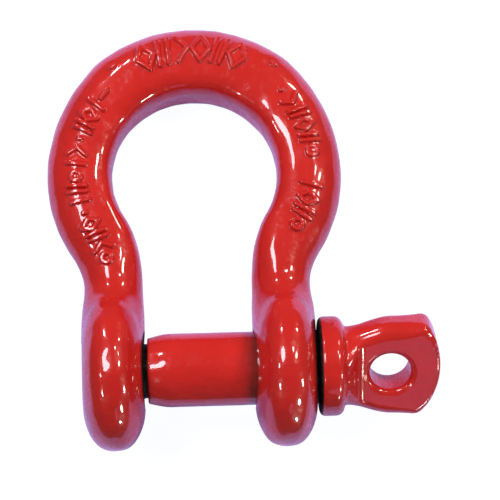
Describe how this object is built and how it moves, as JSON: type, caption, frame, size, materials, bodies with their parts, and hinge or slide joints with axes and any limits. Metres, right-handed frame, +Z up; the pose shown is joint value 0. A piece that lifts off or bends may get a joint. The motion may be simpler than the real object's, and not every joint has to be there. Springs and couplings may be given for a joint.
{
  "type": "screw pin bow shackle",
  "caption": "Forged bow shackle closed by a screw pin with a collar and a flat drilled handle, lying on its side with the pin just off its seat.",
  "frame": {"origin": "middle of the footprint, on the surface the shackle lies on", "axes": "+X along the pin towards its handle, +Y from the pin towards the crown of the bow, +Z up; the bow leans 7.4 degrees because it rests on both eyes and on the crown"},
  "size_m": [0.1348, 0.1492, 0.0545],
  "materials": {
    "red_enamel": "thick glossy bright red enamel over a forged and shot blasted surface",
    "dark_steel": "bare dark oily steel in the threads and the bores"
  },
  "bodies": {
    "shackle_bow": {"bow": "red_enamel"},
    "pin_carrier": {"pin_tip": "dark_steel"},
    "pin": {"screw_pin": "red_enamel"}
  },
  "joints": [
    {"name": "pin_travel", "type": "slide", "parent": "shackle_bow", "child": "pin_carrier", "axis": [1, 0, 0], "range_m": [-0.00035, 0.08466]},
    {"name": "pin_turn", "type": "hinge", "parent": "pin_carrier", "child": "pin", "pos_m": [-0.01561, -0.04737, 0.02727], "axis": [1, 0, 0], "range_deg": [-45, 10810]}
  ],
  "couplings": [
    {"joint": "pin_turn", "follows": "pin_travel", "rad_per_m": 2226.5}
  ]
}
